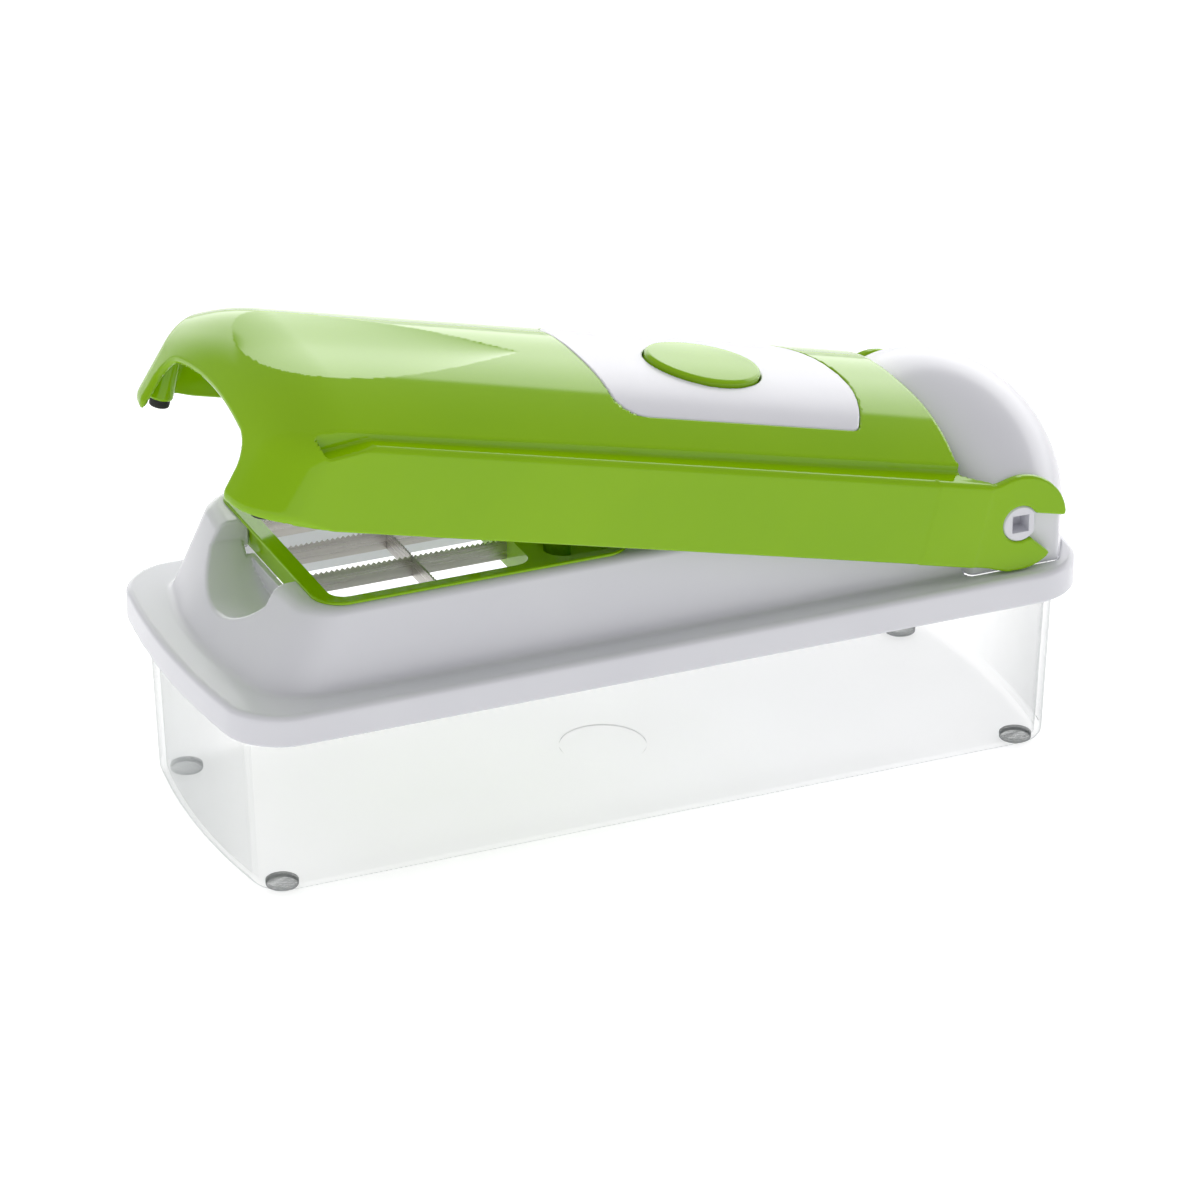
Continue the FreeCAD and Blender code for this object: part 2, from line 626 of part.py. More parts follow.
def lid_shell():
    outer = lid_form(0, 0, LID_BOTTOM)
    hollow = lid_form(SKIRT_WALL, CROWN_WALL, LID_BOTTOM - 6)
    hollow = hollow.cut(both_sides(ledge_cut(LEDGE_WALL)))
    shell = outer.cut(hollow)
    shell = shell.cut(both_sides(ledge_cut(0)))
    shell = shell.cut(box(LID_REAR, 140, -60, 60, 40, 120))
    inside = pusher_hooks() + lid_ribs() + pad_posts()
    shell = shell.fuse([piece.common(lid_form(0.5, 0.5, LID_BOTTOM)) for piece in inside])
    shell = shell.fuse(both_sides(arm_solid()))
    shell = shell.cut(mouth_solid())
    shell = shell.cut(scoop_cut())
    recess = prism(panel_outline(PANEL_GAP, 80), 40).cut(crown_solid(-PANEL_THICKNESS - 0.1))
    window = prism(plan_wire(PANEL_FRONT + PANEL_LIP, PANEL_REAR - PANEL_LIP - 2,
                             PANEL_HALF_WIDTH - PANEL_LIP, 0, PANEL_BOW, 5.0, 2.0, 80), 40)
    return shell.cut([recess, window]).removeSplitter()


def oval(a, b, z):
    """Oval outline centred on the button."""
    return Part.Wire(Part.Ellipse(Vector(BUTTON_X, 0, z), a, b).toShape())


def top_panel():
    """White cover set flush in the crown, with a hole for the button and four screw bosses."""
    slab = prism(panel_outline(0, 80), 40).common(crown_solid(0)).cut(crown_solid(-PANEL_THICKNESS))
    bosses = []
    for x in SCREW_X:
        for y in (-SCREW_Y, SCREW_Y):
            boss = Part.makeCylinder(3.2, 14, Vector(x, y, TRAY_BOTTOM + TRAY_FLOOR))
            bosses.append(boss.common(crown_solid(-0.5)))
    panel = slab.fuse(bosses)
    pilots = [Part.makeCylinder(1.3, 6.0, Vector(x, y, TRAY_BOTTOM + TRAY_FLOOR - 0.1))
              for x in SCREW_X for y in (-SCREW_Y, SCREW_Y)]
    hole = prism(oval(BUTTON_A + BUTTON_GAP, BUTTON_B + BUTTON_GAP, 80), 40)
    return panel.cut(pilots + [hole]).removeSplitter()


def push_button():
    """Green oval button: a crowned cap, a wider stop collar and a wedge-ended stem."""
    cap = prism(oval(BUTTON_A, BUTTON_B, COLLAR_BOTTOM), 20).common(crown_solid(BUTTON_PROUD))
    collar = prism(oval(BUTTON_A + 1.6, BUTTON_B + 1.6, COLLAR_BOTTOM), COLLAR_TOP - COLLAR_BOTTOM)
    hollow = prism(oval(BUTTON_A - 2, BUTTON_B - 2, COLLAR_BOTTOM - 1), 4.2)
    half = STEM_SIDE / 2
    ramp = LATCH_TRAVEL / BUTTON_TRAVEL
    stem = polygon([
        Vector(BUTTON_X - half, -half, 99.5),
        Vector(BUTTON_X - half, -half, STEM_BOTTOM),
        Vector(BUTTON_X + half - 2.5 * ramp, -half, STEM_BOTTOM),
        Vector(BUTTON_X + half, -half, STEM_BOTTOM + 2.5),
        Vector(BUTTON_X + half, -half, 99.5),
    ]).extrude(Vector(0, STEM_SIDE, 0))
    return cap.fuse(collar).cut(hollow).fuse(stem).removeSplitter()


def coil(radius, wire_radius, length, turns):
    """Round-wire compression spring along +Z from the origin."""
    helix = Part.makeHelix((length - 2 * wire_radius) / turns, length - 2 * wire_radius, radius)
    profile = Part.Wire(Part.makeCircle(wire_radius, Vector(radius, 0, 0), Vector(0, 1, 0)))
    spring = helix.makePipeShell([profile], True, True)
    return Part.Solid(spring).translated(Vector(0, 0, wire_radius))


def button_springs():
    """Two coils between the tray floor and the underside of the button, one on each side of the latch."""
    base = TRAY_BOTTOM + TRAY_FLOOR + 0.1
    spring = coil(SPRING_RADIUS, 0.4, 98.4 - base, 5)
    return Part.makeCompound([spring.translated(Vector(BUTTON_X, y, base)) for y in (-SPRING_Y, SPRING_Y)])


def latch_slide():
    """Sliding latch: a bar with a hook tip, a window for the stem and a ramp."""
    ramp = LATCH_TRAVEL / BUTTON_TRAVEL
    bar = box(-14.0, LATCH_REAR, -LATCH_HALF_WIDTH, LATCH_HALF_WIDTH, LATCH_BOTTOM, LATCH_TOP)
    tip = box(-21.5, -13.0, -LATCH_HALF_WIDTH, LATCH_HALF_WIDTH, LATCH_BOTTOM, LATCH_BOTTOM + 0.9)
    block = box(LATCH_REAR - 10.0, LATCH_REAR, -LATCH_HALF_WIDTH, LATCH_HALF_WIDTH, LATCH_BOTTOM, 94.2)
    half = STEM_SIDE / 2 + 0.3
    gap = 0.4
    face = BUTTON_X + STEM_SIDE / 2 + gap
    window = polygon([
        Vector(BUTTON_X - half - LATCH_TRAVEL - 0.3, -half, 80),
        Vector(face - (STEM_BOTTOM + 2.5 - 80) * ramp, -half, 80),
        Vector(face - (STEM_BOTTOM + 2.5 - 100) * ramp, -half, 100),
        Vector(BUTTON_X - half - LATCH_TRAVEL - 0.3, -half, 100),
    ]).extrude(Vector(0, 2 * half, 0))
    seat = Part.makeCylinder(1.85, 2.0, Vector(LATCH_SEAT, 0, 92.0), Vector(1, 0, 0))
    return bar.fuse([tip, block]).cut([window, seat]).removeSplitter()


def latch_spring():
    """Small coil that pushes the latch forward."""
    spring = coil(1.4, 0.3, 5.2, 4)
    spring.rotate(Vector(0, 0, 0), Vector(0, 1, 0), 90)
    return spring.translated(Vector(LATCH_SEAT + 0.1, 0, 92.0))


def latch_tray():
    """White tray under the window that carries the latch and the springs."""
    outer = prism(plan_wire(TRAY_FRONT, TRAY_REAR, TRAY_HALF_WIDTH, 0, 0, 5.0, 5.0, TRAY_BOTTOM),
                  TRAY_HEIGHT)
    inner = prism(plan_wire(TRAY_FRONT + 1.5, TRAY_REAR - 1.5, TRAY_HALF_WIDTH - 1.5, 0, 0, 3.5, 3.5,
                            TRAY_BOTTOM + TRAY_FLOOR), 10)
    tray = outer.cut(inner)
    door = LATCH_HALF_WIDTH + 0.4
    tray = tray.cut(box(TRAY_FRONT - 1, TRAY_FRONT + 3, -door, door, LATCH_BOTTOM - 0.3, LATCH_TOP + 0.4))
    stop = box(LATCH_STOP, LATCH_STOP + 1.8, -5.0, 5.0, TRAY_BOTTOM + TRAY_FLOOR - 0.1, 94.2)
    rails = both_sides(box(-9.0, 8.0, door, door + 1.4, TRAY_BOTTOM + TRAY_FLOOR - 0.1, LATCH_TOP))
    tray = tray.fuse([stop] + rails)
    holes = []
    for x in SCREW_X:
        for y in (-SCREW_Y, SCREW_Y):
            holes.append(Part.makeCylinder(1.7, 4, Vector(x, y, TRAY_BOTTOM - 1)))
    return tray.cut(holes).removeSplitter()


def tray_screws():
    """Four pan-head screws from the tray into the panel's bosses."""
    screws = []
    for x in SCREW_X:
        for y in (-SCREW_Y, SCREW_Y):
            head = Part.makeCylinder(2.7, 1.0, Vector(x, y, TRAY_BOTTOM - 1.0))
            rim = [e for e in head.Edges if e.BoundBox.ZMax < TRAY_BOTTOM - 0.9]
            head = head.makeFillet(0.5, rim)
            shank = Part.makeCylinder(1.25, 6.5, Vector(x, y, TRAY_BOTTOM - 0.1))
            slots = [box(x - 1.4, x + 1.4, y - 0.25, y + 0.25, TRAY_BOTTOM - 2, TRAY_BOTTOM - 0.5),
                     box(x - 0.25, x + 0.25, y - 1.4, y + 1.4, TRAY_BOTTOM - 2, TRAY_BOTTOM - 0.5)]
            screws.append(head.fuse(shank).cut(slots).removeSplitter())
    return Part.makeCompound(screws)


def block_spans():
    """X and Y spans of the pusher's blocks, one in each cell between the blades."""
    columns = [(OPENING_FRONT + BLOCK_GAP, CROSS_BLADE_X - BLOCK_GAP),
               (CROSS_BLADE_X + BLOCK_GAP, OPENING_REAR - BLOCK_GAP)]
    rows = []
    for k in range(4):
        low = (k - 2) * ROW_PITCH
        rows.append((low + BLOCK_GAP, low + ROW_PITCH - BLOCK_GAP))
    return columns, rows


def pusher_plate():
    """White pusher: a ribbed backing plate, slotted blocks, two front tabs and a rear catch."""
    plate = prism(plan_wire(-101.5, -27.0, PUSHER_HALF_WIDTH, 0, 0, 6.0, 3.0, PUSHER_BOTTOM),
                  PUSHER_PLATE_TOP - PUSHER_BOTTOM)
    columns, rows = block_spans()
    blocks = [box(x0, x1, y0, y1, BLOCK_BOTTOM, PUSHER_BOTTOM + 0.1) for x0, x1 in columns
              for y0, y1 in rows]
    rounded = prism(plan_wire(OPENING_FRONT + 1.0, OPENING_REAR - 1.0, OPENING_HALF_WIDTH - 1.0, 0, 0,
                              4.0, 4.0, BLOCK_BOTTOM - 1), 20)
    parts = [block.common(rounded) for block in blocks]
    parts += both_sides(box(-104.8, -99.0, 18.0, 26.0, PUSHER_BOTTOM, PUSHER_PLATE_TOP))
    parts += [box(-98.0, -32.0, y - 0.8, y + 0.8, PUSHER_BOTTOM, PUSHER_TOP) for y in (-30, -10, 10, 30)]
    parts.append(box(-29.0, -19.7, -10.0, 10.0, 90.9, 92.1))
    parts.append(box(-29.0, -23.0, -10.0, 10.0, PUSHER_BOTTOM, 92.1))
    pusher = plate.fuse(parts)
    cuts = []
    slit = 0.6
    for x0, x1 in columns:
        pitch = (x1 - x0) / 5.0
        for k in range(1, 5):
            x = x0 + k * pitch
            cuts.append(box(x - slit, x + slit, -45, 45, BLOCK_BOTTOM - 1, PUSHER_BOTTOM - 0.6))
    for y0, y1 in rows:
        pitch = (y1 - y0) / 3.0
        for k in range(1, 3):
            y = y0 + k * pitch
            cuts.append(box(-110, -30, y - slit, y + slit, BLOCK_BOTTOM - 1, PUSHER_BOTTOM - 0.6))
    return pusher.cut(Part.makeCompound(cuts)).removeSplitter()


def cleaning_comb():
    """Green comb plate round the pusher's blocks, which strips them clean when it is pulled off."""
    comb = prism(plan_wire(-100.9, -35.0, PUSHER_HALF_WIDTH - 0.6, 0, 0, 5.0, 5.0, COMB_BOTTOM),
                 COMB_TOP - COMB_BOTTOM)
    columns, rows = block_spans()
    gap = 0.35
    windows = [box(x0 - gap, x1 + gap, y0 - gap, y1 + gap, 80, 95) for x0, x1 in columns
               for y0, y1 in rows]
    return comb.cut(Part.makeCompound(windows))


def stop_pads():
    """Two black rubber pads on the lid's front posts."""
    pads = []
    for y in (-PAD_Y, PAD_Y):
        pad = Part.makeCylinder(PAD_RADIUS, PAD_HEIGHT, Vector(PAD_X, y, PAD_BOTTOM))
        rim = [e for e in pad.Edges if e.BoundBox.ZMax < PAD_BOTTOM + 0.01]
        pads.append(pad.makeFillet(0.8, rim))
    return Part.makeCompound(pads)


def opened(shape):
    """Turn a lid piece from closed to the rest angle, about the hinge pins."""
    turned = shape.copy()
    turned.rotate(Vector(PIN_X, 0, PIN_Z), Vector(0, 1, 0), OPEN_ANGLE)
    return turned


def build():
    far_pin = hinge_pin()
    nodes = {
        "container": container(),
        "container_feet": container_feet(),
        "deck_frame": deck_frame(),
        "hinge_tower": hinge_tower(),
        "hinge_pin_far": far_pin,
        "hinge_pin_near": far_pin.mirror(Vector(0, 0, 0), Vector(0, 1, 0)),
        "insert_frame": insert_frame(),
        "long_blade_near": long_blade(-1),
        "long_blade_middle": long_blade(0),
        "long_blade_far": long_blade(1),
        "cross_blade": cross_blade(),
    }
    lid_nodes = {
        "lid_shell": lid_shell(),
        "top_panel": top_panel(),
        "push_button": push_button(),
        "button_springs": button_springs(),
        "latch_slide": latch_slide(),
        "latch_spring": latch_spring(),
        "latch_tray": latch_tray(),
        "tray_screws": tray_screws(),
        "pusher_plate": pusher_plate(),
        "cleaning_comb": cleaning_comb(),
        "stop_pads": stop_pads(),
    }
    for name, shape in lid_nodes.items():
        nodes[name] = opened(shape)
    os.makedirs("parts", exist_ok=True)
    for name, shape in nodes.items():
        shape.exportStep("parts/" + name + ".step")
        size = shape.BoundBox
        print(name, "solids", len(shape.Solids), "valid", shape.isValid(), "volume %.0f" % shape.Volume,
              "z %.1f to %.1f" % (size.ZMin, size.ZMax))


build()
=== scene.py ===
import bpy
import json
import math
import numpy as np
from mathutils import Matrix, Vector


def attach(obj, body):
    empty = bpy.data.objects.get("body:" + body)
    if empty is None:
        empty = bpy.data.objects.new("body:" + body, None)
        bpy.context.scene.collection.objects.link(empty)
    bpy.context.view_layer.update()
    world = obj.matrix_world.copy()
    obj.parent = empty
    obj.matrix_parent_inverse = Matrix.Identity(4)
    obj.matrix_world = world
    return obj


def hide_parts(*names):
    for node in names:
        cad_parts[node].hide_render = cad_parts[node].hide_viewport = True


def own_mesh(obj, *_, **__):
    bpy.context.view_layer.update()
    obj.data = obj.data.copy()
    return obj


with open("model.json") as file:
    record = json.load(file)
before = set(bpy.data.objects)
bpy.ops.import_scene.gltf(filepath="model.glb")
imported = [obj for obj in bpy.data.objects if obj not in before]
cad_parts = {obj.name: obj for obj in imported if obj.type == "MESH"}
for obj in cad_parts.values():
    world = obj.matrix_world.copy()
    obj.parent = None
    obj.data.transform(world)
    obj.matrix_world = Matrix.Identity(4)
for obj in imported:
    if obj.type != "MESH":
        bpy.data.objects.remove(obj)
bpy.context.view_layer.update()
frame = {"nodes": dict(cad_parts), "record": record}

# Shapes are worked out in millimetres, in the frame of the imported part, and written in metres.
# The lid's fields are drawn closed and turned about the hinge to the rest angle.
MM = 0.001
CELL = 0.8

joints = {joint["name"]: joint for joint in frame["record"]["behaviour"]["joints"]}
PIN_X = joints["lid_hinge"]["pos_m"][0] / MM
PIN_Z = joints["lid_hinge"]["pos_m"][2] / MM
OPEN_ANGLE = math.radians(-joints["lid_hinge"]["range_deg"][0])


# ---------------------------------------------------------------- solids as distance fields

TINY = 1e-6
SETTLING_STEPS = 4
SLOPE_STEP = 0.02


def both(a, b, blend=0.0):
    """Where both fields are inside; blend rounds the edge between them."""
    reach = blend + TINY
    near = np.maximum(reach - np.abs(a - b), 0.0) / reach
    return np.maximum(a, b) + near * near * reach * 0.25


def either(a, b, blend=0.0):
    """Where either field is inside; blend fillets the corner between them."""
    return -both(-a, -b, blend)


def rounded_both(a, b, radius):
    """Where both fields are inside, with a true arc of the given radius along the edge."""
    u = np.maximum(a + radius, 0.0)
    v = np.maximum(b + radius, 0.0)
    return np.minimum(np.maximum(a, b), -radius) + np.hypot(u, v)


def slab(v, low, high):
    """Distance outside the space between low and high along one axis."""
    return np.abs(v - 0.5 * (low + high)) - 0.5 * (high - low)


def block(x, y, z, low, high, radius=0.0):
    """A box from its low to its high corner, with rounded edges."""
    q = [slab(v, a, b) + radius for v, a, b in zip((x, y, z), low, high)]
    outside = np.sqrt(sum(np.maximum(d, 0.0) ** 2 for d in q))
    return outside + np.minimum(np.maximum(np.maximum(q[0], q[1]), q[2]), 0.0) - radius


def shifted(place, axis, step):
    """Copy of a cell's corner or an array of points, moved along one axis."""
    moved = np.array(place)
    moved[..., axis] += step
    return moved


def cell_points(values, cells, cell, origin):
    """For each cell that the surface crosses, the mean of the crossings on its edges."""
    total = np.zeros((len(cells), 3))
    weight = np.zeros(len(cells))
    corners = [(i, j, k) for i in (0, 1) for j in (0, 1) for k in (0, 1)]
    for corner in corners:
        for axis in range(3):
            if corner[axis] == 1:
                continue
            here = values[tuple((cells + corner).T)]
            there = values[tuple((cells + shifted(corner, axis, 1)).T)]
            crossed = (here < 0) != (there < 0)
            share = np.where(crossed, here / np.where(crossed, here - there, 1.0), 0.0)
            point = np.tile(np.array(corner, float), (len(cells), 1))
            point[:, axis] += share
            total += point * crossed[:, None]
            weight += crossed
    return origin + (cells + total / weight[:, None]) * cell


def cell_faces(inside, index):
    """A quad around each grid edge that the surface crosses, turned to face outwards."""
    faces = []
    for axis in range(3):
        u, v = (axis + 1) % 3, (axis + 2) % 3
        first = [slice(None)] * 3
        second = [slice(None)] * 3
        first[axis] = slice(0, -1)
        second[axis] = slice(1, None)
        where = np.argwhere(inside[tuple(first)] != inside[tuple(second)])
        keep = (where[:, u] > 0) & (where[:, v] > 0)
        keep &= (where[:, u] < inside.shape[u] - 1) & (where[:, v] < inside.shape[v] - 1)
        where = where[keep]
        ring = []
        for du, dv in ((0, 0), (-1, 0), (-1, -1), (0, -1)):
            ring.append(index[tuple(shifted(shifted(where, u, du), v, dv).T)])
        quads = np.stack(ring, axis=1)
        inward = ~inside[tuple(where.T)]
        quads[inward] = quads[inward][:, ::-1]
        faces.append(quads)
    return np.concatenate(faces)


def slope_of(field, points):
    """A field's slope at an array of points."""
    parts = []
    for axis in range(3):
        ahead = field(*shifted(points, axis, SLOPE_STEP).T)
        behind = field(*shifted(points, axis, -SLOPE_STEP).T)
        parts.append((ahead - behind) / (2 * SLOPE_STEP))
    return np.stack(parts, axis=1)


def mesh_from_field(field, low, high, cell):
    """Surface-net mesh of a field's zero surface, with each point moved onto the surface and
    smooth normals taken from the field itself."""
    axes = [np.arange(a - cell, b + 2 * cell, cell) for a, b in zip(low, high)]
    grid = np.meshgrid(*axes, indexing="ij", sparse=True)
    values = np.broadcast_to(field(*grid), [len(a) for a in axes]).copy()
    inside = values < 0
    nx, ny, nz = values.shape
    count = np.zeros((nx - 1, ny - 1, nz - 1), dtype=np.int8)
    for i in (0, 1):
        for j in (0, 1):
            for k in (0, 1):
                count += inside[i:nx - 1 + i, j:ny - 1 + j, k:nz - 1 + k]
    crossed = (count > 0) & (count < 8)
    cells = np.argwhere(crossed)
    index = np.full(crossed.shape, -1, dtype=np.int64)
    index[crossed] = np.arange(len(cells))
    faces = cell_faces(inside, index)
    home = cell_points(values, cells, cell, np.array([a[0] for a in axes]))
    points = home
    for _ in range(SETTLING_STEPS):
        slope = slope_of(field, points)
        size = np.maximum((slope ** 2).sum(axis=1), 1e-3)
        points = points - slope * (field(*points.T) / size)[:, None]
        points = home + np.clip(points - home, -cell, cell)
    slope = slope_of(field, points)
    normals = slope / np.maximum(np.linalg.norm(slope, axis=1), 1e-9)[:, None]
    return points, faces, normals


# ---------------------------------------------------------------- the lid's shell, closed

LID_BOTTOM = 61.6
LID_HALF_WIDTH = 51.5
LID_REAR = 88.5
LID_FRONT = -131.4
LID_FRONT_Z = 80.0
LID_LEAN = 0.335
LID_BOW = 6.0
LID_CORNER = 14.0
LID_SIDE_CORNER = 1.5
LID_CURL = 4.6
LID_FOOT = 0.8
CURL_FROM = -106.0
CURL_LENGTH = 14.0
NOSE_X = -104.0
SKIRT_WALL = 2.2
CROWN_WALL = 3.0
CROWN_TOP = 100.0
CROWN_DROP = 4.75
CROWN_DROP_AT = 35.0
CROWN_POWER = 2.6
LEDGE_WALL = 1.7
LEDGE_Z = 87.8
LEDGE_SLOPE = 0.12
LEDGE_INNER = 46.5
LEDGE_TAPER = 1.7
LEDGE_START = -103.0
LEDGE_LENGTH = 191.5
LEDGE_RUNOUT = -112.5
LEDGE_SLANT = 0.9
LEDGE_DIP_FROM = -99.0
LEDGE_DIP = 0.33
MOUTH_HALF_WIDTH = 32.4
MOUTH_HALF_WIDTH_Z = 66.0
MOUTH_NARROWING = 0.06
MOUTH_TOP = 83.5
MOUTH_ARCH = 3.9
MOUTH_ARCH_AT = 27.0
MOUTH_CORNER = 6.0
MOUTH_BACK = -118.0
ARM_INNER = 48.5
ARM_TOP = 87.0
ARM_ROOT = 8.0
ARM_SWEEP = 10.0
ARM_SWEEP_FROM = 42.5
ARM_SWEEP_WIDTH = 6.0
HUB_RADIUS = 14.9
PIN_BORE = 5.58
SLOT_ROOF = 3.6
SLOT_SILL = 4.2
SLOT_SPLAY = 0.55
SLOT_SPLAY_FROM = 4.9
PANEL_FRONT = -17.0
PANEL_REAR = 68.5
PANEL_HALF_WIDTH = 34.2
PANEL_BOW = 9.0
PANEL_THICKNESS = 1.6
PANEL_LIP = 5.0
PANEL_FRONT_CORNER = 9.0
PANEL_REAR_CORNER = 2.0
SCOOP_FRONT = -121.6
SCOOP_TAIL = -36.0
SCOOP_WIDEST = 0.2
SCOOP_HALF_WIDTH = 25.6
SCOOP_DEPTH = 2.0
HOOK_PAD = ((-108.0, 17.0, 87.4), (-101.0, 27.0, 88.8))
HOOK_STEM = ((-108.0, 17.0, 87.4), (-105.5, 27.0, 97.5))
RIB_FRONTS = (-92.0, -68.5, -45.0)
RIB_THICKNESS = 1.8
RIB_SPACE = ((-100.0, -38.0, 91.1), (-40.0, 38.0, 98.5))
POST_X = -124.5
POST_Y = 41.0
POST_RADIUS = 3.6
POST_HEIGHTS = (63.7, 89.0)
POST_WEB = ((-125.5, 41.0, 69.7), (-123.5, 50.5, 89.0))
FITTING_COVER = 0.9


def crown_height(y):
    """Height of the lid's top, which falls away from the middle."""
    return CROWN_TOP - CROWN_DROP * (np.abs(y) / CROWN_DROP_AT) ** CROWN_POWER


def lid_body(x, y, z, inset, drop, corner):
    """The lid's closed form: crown, rounded brow, leaning front wall and upright sides."""
    brow = crown_height(y) - drop
    front = LID_FRONT + LID_BOW * (y / LID_HALF_WIDTH) ** 2 + inset
    span = NOSE_X - front
    rise = np.maximum(brow - LID_FRONT_Z, 2.0)
    w = np.maximum(z - LID_FRONT_Z, 0.0) / rise
    sheared = x - LID_LEAN * (z - LID_FRONT_Z) * np.clip(1.0 - w, 0.0, 1.0)
    u = np.maximum(NOSE_X - sheared, 0.0) / span
    radial = np.sqrt(u * u + w * w) + TINY
    top = (radial - 1.0) * ((u * u + 1e-3) * span + w * w * rise) / (u * u + w * w + 1e-3)
    side = np.abs(y) - (LID_HALF_WIDTH - inset)
    turn = np.clip(u * u / (u * u + w * w + TINY), 0.0, 1.0)
    return rounded_both(top, side, LID_SIDE_CORNER + (corner - LID_SIDE_CORNER) * turn)


def ledge(x, y, z, inset):
    """Step beside the crown, dipping and running out at the front."""
    inner = LEDGE_INNER - LEDGE_TAPER * (x - LEDGE_START) / LEDGE_LENGTH - inset
    floor = z - (LEDGE_Z - LEDGE_SLOPE * (np.abs(y) - LEDGE_INNER)) + inset
    dip = LEDGE_DIP * np.maximum(LEDGE_DIP_FROM - x, 0.0)
    start = (x - LEDGE_RUNOUT + LEDGE_SLANT * (LID_HALF_WIDTH - np.abs(y))) / 1.35
    return both(both(inner - np.abs(y), -(floor + dip), 0.8), -start, 2.0)


def mouth(y, z):
    """Arched finger opening in the front wall, a little narrower upwards."""
    side = np.abs(y) - (MOUTH_HALF_WIDTH - MOUTH_NARROWING * (z - MOUTH_HALF_WIDTH_Z))
    arch = z - (MOUTH_TOP - MOUTH_ARCH * (y / MOUTH_ARCH_AT) ** 2)
    return rounded_both(side, arch, MOUTH_CORNER)


def scoop_depth(x, y):
    """Teardrop palm rest: how deep the dish is at a place, 0 at its rim."""
    s = (x - SCOOP_FRONT) / (SCOOP_TAIL - SCOOP_FRONT)
    blunt = np.clip((SCOOP_WIDEST - s) / SCOOP_WIDEST, 0.0, 2.0)
    fade = np.clip((s - SCOOP_WIDEST) / (1.0 - SCOOP_WIDEST), 0.0, 1.0)
    half = SCOOP_HALF_WIDTH * np.maximum((1.0 - fade ** 2) * (1.0 - 0.15 * fade ** 2), 1e-3)
    reach = np.clip(blunt ** 2.5 + (y / half) ** 2, 0.0, 1.0)
    return SCOOP_DEPTH * (1.0 - fade ** 2) * (1.0 - reach)


def panel_plan(x, y, grow):
    """Plan of the top panel, straight in front and bowed behind."""
    big = (PANEL_HALF_WIDTH ** 2 + PANEL_BOW ** 2) / (2 * PANEL_BOW)
    tail = np.hypot(x - (PANEL_REAR - big), y) - big - grow
    side = np.abs(y) - PANEL_HALF_WIDTH - grow
    head = PANEL_FRONT - grow - x
    return np.maximum(rounded_both(head, side, PANEL_FRONT_CORNER + grow),
                      rounded_both(tail, side, PANEL_REAR_CORNER))


def hinge_arm(x, y, z):
    """Plate that ends in a hooked bearing, open to the rear."""
    depth = slab(np.abs(y), ARM_INNER, LID_HALF_WIDTH)
    plate = np.maximum(slab(x, LID_REAR - ARM_ROOT, PIN_X), slab(z, LID_BOTTOM, ARM_TOP))
    from_pin = np.hypot(x - PIN_X, z - PIN_Z)
    flat = either(plate, from_pin - HUB_RADIUS, 2.0)
    roof = z - (PIN_Z + SLOT_ROOF)
    sill = PIN_Z - SLOT_SILL - SLOT_SPLAY * np.maximum(x - PIN_X - SLOT_SPLAY_FROM, 0.0) - z
    slot = both(both(PIN_X - x, roof), sill)
    flat = both(flat, -slot, 1.2)
    flat = both(flat, PIN_BORE - from_pin, 0.3)
    return rounded_both(flat, depth, 0.7)


def lid_fittings(x, y, z):
    """Inside the lid: hooks for the pusher plate, cross ribs and the corner posts."""
    wide = np.abs(y)
    hooks = either(block(x, wide, z, *HOOK_PAD, 0.3), block(x, wide, z, *HOOK_STEM, 0.3), 0.3)
    ribs = block(x, y, z, *RIB_SPACE)
    across = [slab(x, front, front + RIB_THICKNESS) for front in RIB_FRONTS]
    ribs = both(np.minimum(np.minimum(across[0], across[1]), across[2]), ribs, 0.3)
    post = both(np.hypot(x - POST_X, wide - POST_Y) - POST_RADIUS, slab(z, *POST_HEIGHTS), 0.5)
    web = block(x, wide, z, *POST_WEB, 0.2)
    return np.minimum(np.minimum(hooks, ribs), either(post, web, 1.0))


def lid_shell(x, y, z):
    """Green lid: a hollow form with ledges, mouth, palm rest, panel seat and hinge arms."""
    outer = lid_body(x, y, z, 0.0, 0.0, LID_CORNER) + scoop_depth(x, y) * (z > LID_FRONT_Z)
    foot = LID_FOOT + (LID_CURL - LID_FOOT) * np.clip((CURL_FROM - x) / CURL_LENGTH, 0.0, 1.0)
    outer = rounded_both(outer, LID_BOTTOM - z, foot)
    outer = both(outer, -ledge(x, y, z, 0.0), 0.7)
    outer = rounded_both(outer, -np.maximum(mouth(y, z), x - MOUTH_BACK), 2.4)
    hollow = lid_body(x, y, z, SKIRT_WALL, CROWN_WALL, LID_CORNER - SKIRT_WALL)
    hollow = both(hollow, -ledge(x, y, z, LEDGE_WALL), 0.6)
    shell = both(outer, -hollow, 0.5)
    outward = np.clip(np.abs(y) - ARM_SWEEP_FROM, 0.0, ARM_SWEEP_WIDTH) / ARM_SWEEP_WIDTH
    shell = both(shell, x - LID_REAR - ARM_SWEEP * outward ** 2, 0.8)
    shell = either(shell, hinge_arm(x, y, z), 0.8)
    cover = lid_body(x, y, z, FITTING_COVER, FITTING_COVER, LID_CORNER - FITTING_COVER)
    cover = cover + scoop_depth(x, y)
    shell = either(shell, both(lid_fittings(x, y, z), cover), 0.5)
    seat = crown_height(y) - PANEL_THICKNESS - 0.1 - z
    shell = both(shell, -np.maximum(panel_plan(x, y, 0.15), seat), 0.25)
    return both(shell, -panel_plan(x, y, -PANEL_LIP), 0.4)


# ---------------------------------------------------------------- the deck and its hinge tower

